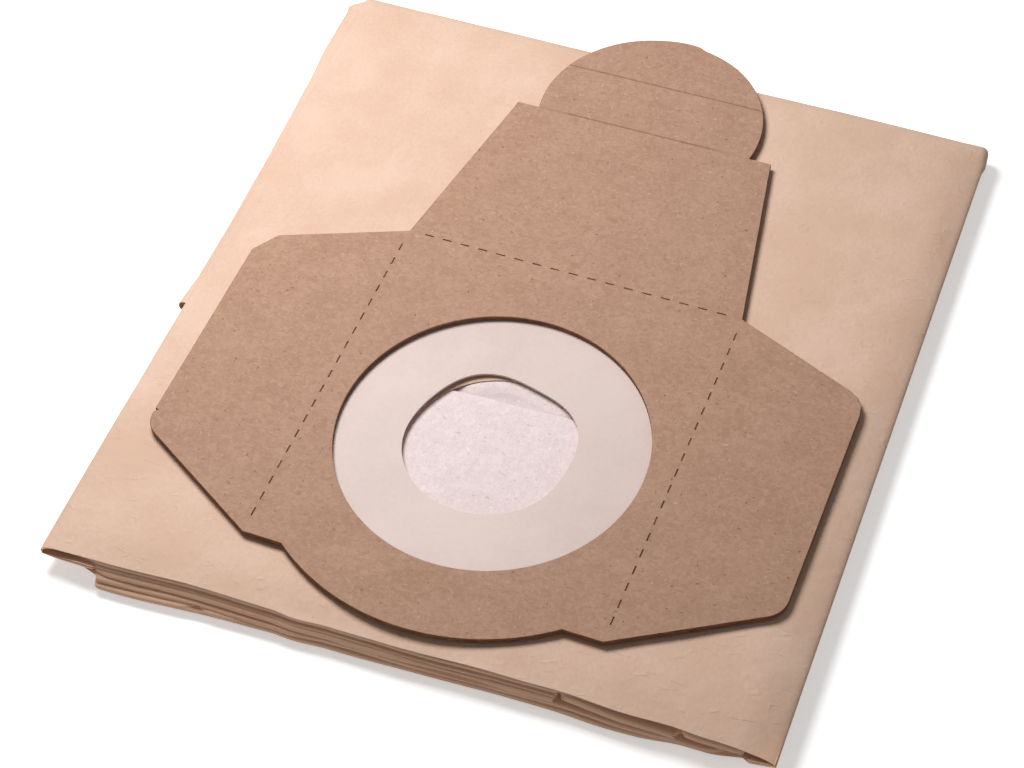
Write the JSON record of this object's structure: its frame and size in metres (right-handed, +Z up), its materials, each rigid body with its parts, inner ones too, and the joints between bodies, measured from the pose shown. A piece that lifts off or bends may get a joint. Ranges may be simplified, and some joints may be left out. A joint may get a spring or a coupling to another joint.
{
  "type": "vacuum dust bag",
  "caption": "Folded kraft paper dust bag for a vacuum cleaner, with a die-cut board collar, a rubber inlet seal and a fleece lining.",
  "frame": {"origin": "middle of the whole object's footprint, on the surface that the folded bag lies on", "axes": "+X right along the front fold, +Y from the front fold to the back fold and the collar's tab, +Z up out of the collar's face"},
  "size_m": [0.2276, 0.257, 0.0136],
  "materials": {
    "kraft_paper": "matt light brown filter paper",
    "filter_fleece": "soft white fleece with loose fibres",
    "seal_rubber": "cream rubber sheet, satin",
    "collar_board": "matt grey-brown solid board, die cut"
  },
  "bodies": {
    "root": {"paper_bag": "kraft_paper", "inner_lining": "filter_fleece", "seal_membrane": "seal_rubber", "cardboard_collar": "collar_board"}
  },
  "joints": []
}
